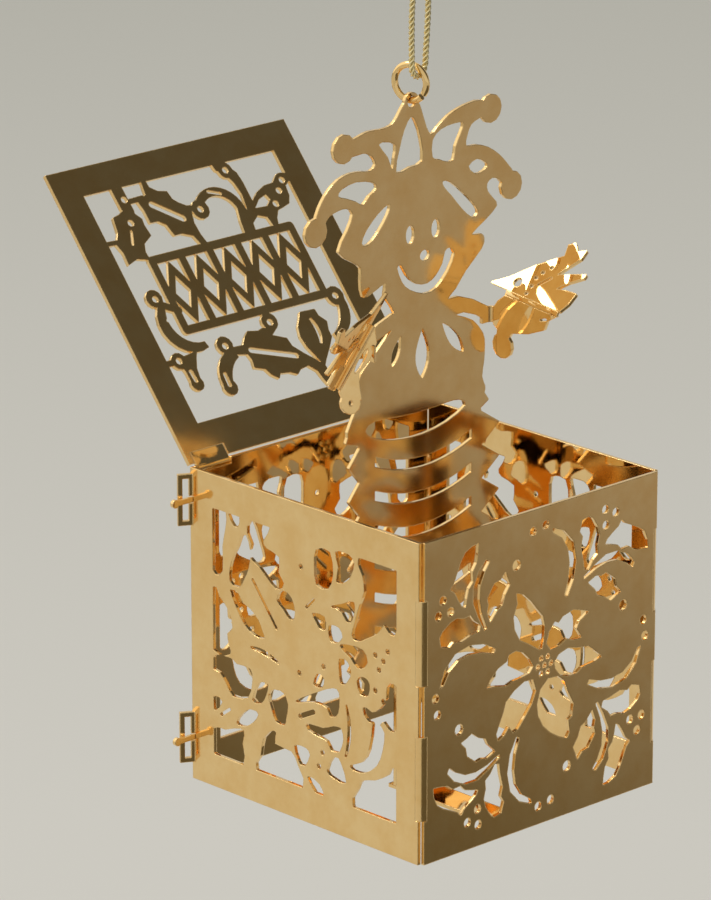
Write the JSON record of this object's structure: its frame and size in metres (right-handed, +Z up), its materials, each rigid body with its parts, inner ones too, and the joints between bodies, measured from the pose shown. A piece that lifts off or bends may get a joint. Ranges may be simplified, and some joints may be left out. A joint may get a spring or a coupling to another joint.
{
  "type": "hanging jack in the box ornament",
  "caption": "Hanging ornament of pierced, folded gold-plated brass: an open box with holly and flower openwork, a leaning lid and a flat jester on a spring, on a thread.",
  "frame": {"origin": "top of the thread's knot, by which the ornament hangs", "axes": "+Z up along the hanging ornament, +X to the right across the front of the box, +Y from the front of the box towards its back, where the lid is"},
  "size_m": [0.0411, 0.0631, 0.1027],
  "materials": {
    "gold_brass": "bright gold plate with fine scratches",
    "ring_wire": "polished round wire",
    "metallic_thread": "twisted metallic thread"
  },
  "bodies": {
    "hanger": {"jump_ring": "ring_wire", "thread": "metallic_thread", "knot": "metallic_thread"},
    "box": {"front_panel": "gold_brass", "left_panel": "gold_brass", "right_panel": "gold_brass", "back_panel": "gold_brass", "base_strap": "gold_brass", "corner_folds": "gold_brass", "clasp_lugs": "gold_brass", "clasp_hooks": "gold_brass", "jester": "gold_brass", "lid_folds": "gold_brass", "right_arm_fold": "gold_brass", "left_arm_fold": "gold_brass"},
    "lid": {"lid": "gold_brass"},
    "right_arm": {"right_sleeve": "gold_brass", "right_crease": "gold_brass", "right_hand": "gold_brass"},
    "left_arm": {"left_sleeve": "gold_brass", "left_crease": "gold_brass", "left_hand": "gold_brass"}
  },
  "joints": [
    {"name": "swing_on_ring", "type": "hinge", "parent": "hanger", "child": "box", "pos_m": [-0.00052, 0.00119, -0.0211], "axis": [0, 1, 0], "range_deg": [-25, 25]},
    {"name": "lid_fold", "type": "hinge", "parent": "box", "child": "lid", "pos_m": [0.00178, 0.01997, -0.0648], "axis": [1, 0, 0], "range_deg": [-40, 55], "deforming": ["lid_folds"]},
    {"name": "right_arm_turn", "type": "hinge", "parent": "box", "child": "right_arm", "pos_m": [0.01184, 0.00061, -0.0483], "axis": [0, 0, 1], "range_deg": [-40, 45], "deforming": ["right_arm_fold"]},
    {"name": "left_arm_turn", "type": "hinge", "parent": "box", "child": "left_arm", "pos_m": [-0.00826, 0.00061, -0.0483], "axis": [0, 0, 1], "range_deg": [-40, 10], "deforming": ["left_arm_fold"]}
  ]
}
